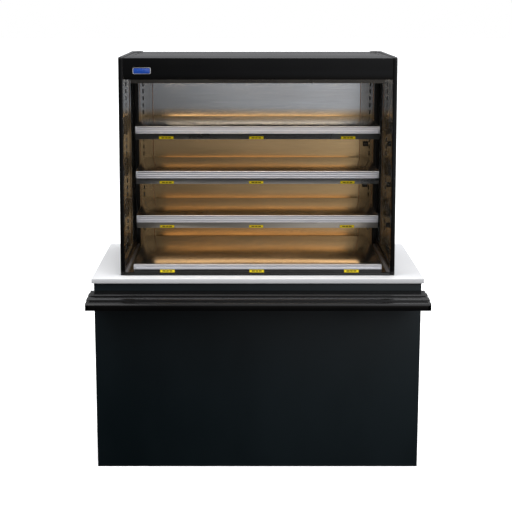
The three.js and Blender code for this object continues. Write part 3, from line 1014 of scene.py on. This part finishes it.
def back_wall():
    low, high = limits("back_liner")
    bm = bmesh.new()
    bmesh.ops.create_grid(bm, x_segments=40, y_segments=36, size=0.5)
    bmesh.ops.rotate(bm, cent=(0, 0, 0), matrix=UPRIGHT, verts=bm.verts)
    size = high - low
    middle = ((low.x + high.x) / 2, low.y, (low.z + high.z) / 2)
    bmesh.ops.scale(bm, vec=(size.x, 1, size.z), verts=bm.verts)
    bmesh.ops.translate(bm, vec=middle, verts=bm.verts)
    for vert in bm.verts:
        across = (vert.co.x - low.x) / size.x
        up = (vert.co.z - low.z) / size.z
        ripple = math.sin(5.0 * across + 2.2 * up) * math.sin(13.0 * up + 1.8 * across)
        vert.co.y += LINER_RIPPLE * (1 + ripple)
    bmesh.ops.solidify(bm, geom=bm.faces[:], thickness=-0.5)
    piece("back_liner_sheet", bm, LINER_STEEL, stands_for=["back_liner"])

    half, beads = 1.3, []
    for x in (-LINER_X, -COLUMN_X - 1.5, LINER_X, COLUMN_X + 1.5):
        base = WALL_BACK - 0.1
        section = [(x - half, base), (x, base - 1.2), (x + half, base)]
        beads.append(prism(section, "z", FOOT + 4, high.z))
    piece("back_wall_sealant", together(beads), HOT_SEALANT)

    for word in LEVELS:
        low, high = limits("shelf_socket_" + word)
        wall = 5
        outer = rectangle(low.x, high.x, low.z, high.z)
        inner = rectangle(low.x + wall, high.x - wall, low.z + wall, high.z - wall)
        body = ring(outer, inner, "y", low.y, high.y - 1.5, (2, 1))
        back = slab((low.x + 1, high.y - 1.6, low.z + 1), (high.x - 1, high.y, high.z - 1))
        middle = centre_of("shelf_socket_" + word)
        contact = [(0, 0), (1.4, 0), (1.4, 2.6), (0, 3)]
        pins = [
            turned(contact, (middle.x + aside, high.y - 1.6, middle.z), (0, -1, 0), 10)
            for aside in (-3.6, 3.6)
        ]
        piece(
            "shelf_socket_shell_" + word,
            together([ease(body, 0.6, 2), back]),
            BLACK_PLASTIC,
            stands_for=["shelf_socket_" + word],
        )
        piece("shelf_socket_pins_" + word, together(pins), BRIGHT_STEEL)


def rear_skin():
    low, high = limits("rear_skin")
    face = high.y
    piece("rear_skin_sheet", slab(low, high, 0.8), REAR_STEEL, stands_for=["rear_skin"])

    root, nose, half = face + 0.1, face + 5.5, 52
    louvres = []
    for row in range(9):
        z = 1560 + row * 20
        section = [(root, z + 9), (root, z - 1), (nose, z - 1), (nose, z + 1)]
        for x in (-330, -190, 190, 330):
            louvres.append(ease(prism(section, "x", x - half, x + half), 1.2, 2))
    # The louvres wear the darker copy of the rear steel, which is painted shade.
    piece("rear_skin_louvres", together(louvres), LOUVRE_STEEL_PAINTED_SHADE)

    cover, opening = rectangle(-255, 255, 1010, 1500), rectangle(-252, 252, 1013, 1497)
    seam = ring(cover, opening, "y", root, face + 1.3)
    piece("rear_access_seam", seam, DARK_SEAL)

    heads = []
    for x in (low.x + 12, high.x - 12):
        heads += [(x, z) for z in range(920, 1800, 145)]
    for z in (1018, 1492):
        heads += [(x, z) for x in (-240, 0, 240)]
    for z in (low.z + 12, high.z - 12):
        heads += [(x, z) for x in range(-450, 451, 150)]
    screws = [screw((x, face, z), (0, 1, 0), 4, 1.8) for x, z in heads]
    piece("rear_skin_screws", together(screws), BRIGHT_STEEL)


# ---- shelves ----------------------------------------------------------------------

TAG_PLACES = (-413, -5, 411)
COVER_RUN = 10
TAG_UP_COVER = 8.2


def shelf(word):
    body = "shelf_" + word
    low, high = limits("shelf_pan_" + word)
    piece(
        f"shelf_{word}_pan",
        folded_pan(low, high, 1.4, 1.8),
        SHELF_STEEL,
        body,
        ["shelf_pan_" + word],
    )
    under_rail = limits("shelf_price_rail_" + word)[0].z
    lips = [under_rail + rise for rise in (3.5, 14, 22.5)]
    label_rail(f"shelf_{word}_label_rail", "shelf_price_rail_" + word, body, lips)
    low, high = limits("shelf_cover_" + word)
    run = COVER_RUN
    section = [
        (low.y, high.z),
        (low.y, under_rail - 0.4),
        (low.y + run, low.z),
        (high.y, low.z),
        (high.y, high.z),
    ]
    cover = prism(section, "x", low.x, high.x)
    piece(
        f"shelf_{word}_cover",
        ease(cover, 1.2, 3, 15),
        COVER_STEEL,
        body,
        ["shelf_cover_" + word],
    )
    strip = slab((low.x + 40, low.y + 150, low.z - 3), (high.x - 40, low.y + 170, low.z - 0.1), 1.2)
    piece(f"shelf_{word}_lamp_strip", strip, LAMP_LENS, body)
    tilt = math.atan2(run, under_rail - low.z)
    tag_y = low.y + run - TAG_UP_COVER * math.sin(tilt) - 0.3
    tag_z = low.z + TAG_UP_COVER * math.cos(tilt) - 0.1
    places = [(x, tag_y, tag_z) for x in TAG_PLACES]
    tags(f"shelf_{word}", body, places, tilt)


# ---- controls ---------------------------------------------------------------------


def control_panel():
    low, high = limits("control_panel")
    rocker_x = centre_of("power_switch").x
    middle_z = (low.z + high.z) / 2

    def window(half_x, half_z):
        return rectangle(rocker_x - half_x, rocker_x + half_x, middle_z - half_z, middle_z + half_z)

    outer = rectangle(low.x, high.x, low.z, high.z)
    plate = ring(outer, window(9, 14), "y", low.y, high.y, (6, 1), 4)
    piece(
        "control_panel_plate",
        ease(plate, 0.7, 2),
        BLACK_PLASTIC,
        stands_for=["control_panel"],
    )
    bezel = ring(window(12, 17), window(9, 13.5), "y", high.y, high.y + 1.2, (2, 1), 4)
    piece("switch_bezel", ease(bezel, 0.4, 1), BLACK_PLASTIC)
    heads = [
        screw((x, high.y, z), (0, 1, 0), 3.4, 1.6)
        for x in (low.x + 9, high.x - 9)
        for z in (low.z + 9, high.z - 9)
    ]
    piece("control_panel_screws", together(heads), BRIGHT_STEEL)


def thermostat():
    """The knob, from its skirt up, and a plain ring of ten ticks over 270 degrees."""
    knob_low, knob_high = limits("thermostat_knob")
    knob_x, middle_z = centre_of("thermostat_knob").x, centre_of("control_panel").z
    face = limits("control_panel")[1].y
    ticks = []
    for i in range(10):
        angle = math.radians(-135 + 30 * i)
        tick = slab((-0.6, face, 22), (0.6, face + 0.25, 26 if i % 3 else 28))
        ticks.append(moved(tick, Matrix.Rotation(angle, 3, "Y"), (knob_x, 0, middle_z)))
    piece("thermostat_scale", together(ticks), WHITE_MARK)

    seat = knob_low.y
    half_grip, reach = 2.2, 13.5
    section = [
        (0, 0),
        (18.6, 0),
        (19, 0.8),
        (19, 3),
        (17.5, 4.5),
        (15, 5),
        (14.2, 19),
        (12.8, 20.8),
        (0, 21),
    ]
    skirt = turned(section, (knob_x, seat, middle_z), (0, 1, 0), 40)
    grip = slab(
        (knob_x - half_grip, seat + 5, middle_z - reach),
        (knob_x + half_grip, knob_high.y, middle_z + reach),
        1.4,
        3,
    )
    piece(
        "thermostat_knob_body",
        together([skirt, grip]),
        BLACK_PLASTIC,
        "knob",
        ["thermostat_knob"],
    )
    pointer = slab(
        (knob_x - 0.8, knob_high.y - 0.2, middle_z + 3), (knob_x + 0.8, knob_high.y, middle_z + 12)
    )
    piece("thermostat_pointer", pointer, WHITE_MARK, "knob")


def power_switch():
    """A rocker tipped to its off side, marked with a plain bar and ring."""
    paddle = [(-2, -11.5), (2.3, -11.8), (1.1, 0), (2.3, 11.8), (-2, 11.5)]
    rocker = ease(prism(paddle, "x", -7.3, 7.3), 0.5, 2, 15)
    on_mark = slab((-0.45, 1.5, -8.6), (0.45, 2.1, -4.8))
    band = [(1.5, 0), (2.2, 0), (2.2, 0.6), (1.5, 0.6), (1.5, 0)]
    off_mark = turned(band, (0, 1.5, 6.6), (0, 1, 0), 20)
    leaning = Matrix.Rotation(math.radians(-9), 3, "X")
    pivot = (centre_of("power_switch").x, limits("control_panel")[0].y + 5, centre_of("control_panel").z)
    marks = moved(together([on_mark, off_mark]), leaning, pivot)
    moved(rocker, leaning, pivot)
    piece("power_switch_rocker", rocker, BLACK_PLASTIC, "switch", ["power_switch"])
    piece("power_switch_marks", marks, WHITE_MARK, "switch")


def cable_gland():
    middle = centre_of("cable_gland")
    foot = (middle.x, limits("cable_gland")[0].y, middle.z)
    nut_section = [(6, 0), (14.5, 0), (16, 1.5), (16, 6.5), (14.5, 8), (6, 8), (6, 0)]
    dome_section = [(6, 8.1), (13, 8.1), (13, 19), (10.5, 23.4), (7, 24), (6, 23), (6, 8.1)]
    nut = turned(nut_section, foot, (0, 1, 0), 6)
    dome = turned(dome_section, foot, (0, 1, 0), 24)
    piece(
        "cable_gland_body",
        together([nut, dome]),
        BLACK_PLASTIC,
        stands_for=["cable_gland"],
    )


# ---- what stays a CAD solid ---------------------------------------------------------


def keep(finish, *names):
    """Gives CAD solids whose shape is right their finish."""
    for name in names:
        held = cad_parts[name]
        for slot in held.material_slots:
            slot.material = finish


def kept_solids():
    keep(BLACK_LAMINATE, "base_floor")
    for word in SIDES:
        keep(POWDER_COAT, "tray_bracket_" + word)
        keep(GREY_GLASS, "end_glass_" + word)
        keep(RAIL_ALUMINIUM, "glass_channel_" + word)
        keep(COLUMN_STEEL, "side_column_" + word)
        for level in LEVELS:
            keep(SHELF_STEEL, f"shelf_bracket_{word}_{level}")
    keep(TUB_STEEL, "tub")
    keep(HEATER_PLATE, "deck_heater")
    keep(CANOPY_STEEL, "light_housing")


# ---- light and floor ----------------------------------------------------------------


def area_light(name, place, aim, size, power, colour=(1, 1, 1)):
    data = bpy.data.lights.new(name, "AREA")
    data.shape = "RECTANGLE"
    data.size, data.size_y = size
    data.energy = power
    data.color = colour
    lamp = bpy.data.objects.new(name, data)
    lamp.location = place
    lamp.rotation_euler = (Vector(aim) - Vector(place)).to_track_quat("-Z", "Y").to_euler()
    bpy.context.scene.collection.objects.link(lamp)


def room_light():
    """What the gloss mirrors: a bright room above a dark ground, brighter to the right, with a
    pale wall low behind. The camera itself sees plain white."""
    bpy.context.scene.view_settings.view_transform = "Standard"
    world = bpy.data.worlds.new("studio")
    bpy.context.scene.world = world
    world.use_nodes = True
    tree = world.node_tree
    tree.nodes.clear()
    direction = node(tree, "ShaderNodeTexCoord", {}).outputs["Generated"]
    split = node(tree, "ShaderNodeSeparateXYZ", {"Vector": direction})
    height = node(tree, "ShaderNodeMapRange", {"Value": split.outputs[2], 1: -1.0, 2: 1.0})
    room = node(tree, "ShaderNodeValToRGB", {"Fac": height.outputs[0]})
    stops = (
        (0.0, (0.055, 0.055, 0.055)),
        (0.36, (0.050, 0.055, 0.060)),
        (0.42, (0.20, 0.17, 0.13)),
        (0.45, (0.36, 0.36, 0.37)),
        (0.475, (0.50, 0.52, 0.57)),
        (0.52, (0.38, 0.38, 0.39)),
        (0.62, (0.46, 0.47, 0.49)),
        (1.0, (1.80, 1.81, 1.84)),
    )
    ramp = room.color_ramp
    while len(ramp.elements) < len(stops):
        ramp.elements.new(0.5)
    for element, (position, colour) in zip(ramp.elements, stops):
        element.position, element.color = position, (*colour, 1)
    sideways = node(
        tree, "ShaderNodeMapRange", {"Value": split.outputs[0], 1: -0.08, 2: 0.16, 3: 0.36, 4: 1.9}
    )
    behind = node(tree, "ShaderNodeMapRange", {"Value": split.outputs[1], 1: -0.3, 2: 0.3})
    low_wall = node(
        tree, "ShaderNodeMapRange", {"Value": split.outputs[2], 1: -0.25, 2: -0.02, 3: 5.0, 4: 0.72}
    )
    levels = {0: behind.outputs[0], 2: sideways.outputs[0], 3: low_wall.outputs[0]}
    strength = node(tree, "ShaderNodeMix", levels).outputs[0]
    lit = node(tree, "ShaderNodeBackground", {"Color": room.outputs[0], "Strength": strength})
    white = node(tree, "ShaderNodeBackground", {"Color": (1, 1, 1, 1), "Strength": 1.0})
    seen = node(tree, "ShaderNodeLightPath", {}).outputs["Is Camera Ray"]
    mixed = node(tree, "ShaderNodeMixShader", {0: seen, 1: lit.outputs[0], 2: white.outputs[0]})
    output = tree.nodes.new("ShaderNodeOutputWorld")
    tree.links.new(mixed.outputs[0], output.inputs[0])


def lamps():
    """Three softboxes, the canopy's lamp and a warm lamp under each shelf."""
    area_light("key_softbox", (-2.3, -1.3, 4.6), (0, 0, 0.9), (3.0, 2.2), 92)
    area_light("fill_softbox", (2.6, -3.6, 2.9), (0, 0, 0.9), (1.6, 2.0), 21)
    area_light("rear_softbox", (0.8, 3.0, 5.0), (0, 0, 1.0), (3.0, 1.6), 70)
    lens_y = centre_of("light_lens").y * MM
    place = (0, lens_y, limits("light_lens")[0].z * MM - 0.004)
    white_warm, amber = (1.0, 0.82, 0.62), (1.0, 0.64, 0.32)
    area_light("canopy_lamp", place, (0, lens_y + 0.12, 0.9), (1.0, 0.06), 1.8, white_warm)
    for word in LEVELS:
        low = limits("shelf_cover_" + word)[0]
        place = (0, (low.y + 160) * MM, (low.z - 8) * MM)
        area_light("bay_lamp_" + word, place, (0, place[1] + 0.1, 0), (1.0, 0.12), 0.6, amber)


def pale_floor():
    mesh = bpy.data.meshes.new("floor")
    bm = bmesh.new()
    bmesh.ops.create_grid(bm, x_segments=1, y_segments=1, size=60)
    bm.to_mesh(mesh)
    bm.free()
    floor = bpy.data.objects.new("floor", mesh)
    bpy.context.scene.collection.objects.link(floor)
    sockets = {"Roughness": 0.9, "Specular IOR Level": 0.0, "Emission Color": (1, 1, 1, 1)}
    sockets["Emission Strength"] = 0.55
    finish, tree, shader = new_finish("pale_floor", sockets)
    tone = grain(tree, 0.8, (1, 1, 1), 2.0)
    wire(tree, shader, Base_Color=tinted(tree, tone, (0.86,) * 3, (0.88,) * 3))
    mesh.materials.append(finish)
    floor.visible_glossy = False
    floor.visible_diffuse = False


make_camera()
room_light()
lamps()
pale_floor()
kept_solids()
base_cabinet()
rear_doors()
hinges()
countertop()
tray_slide()
tray_fixings()
end_frames()
canopy()
badge()
deck()
back_wall()
rear_skin()
for level in LEVELS:
    shelf(level)
control_panel()
thermostat()
power_switch()
cable_gland()
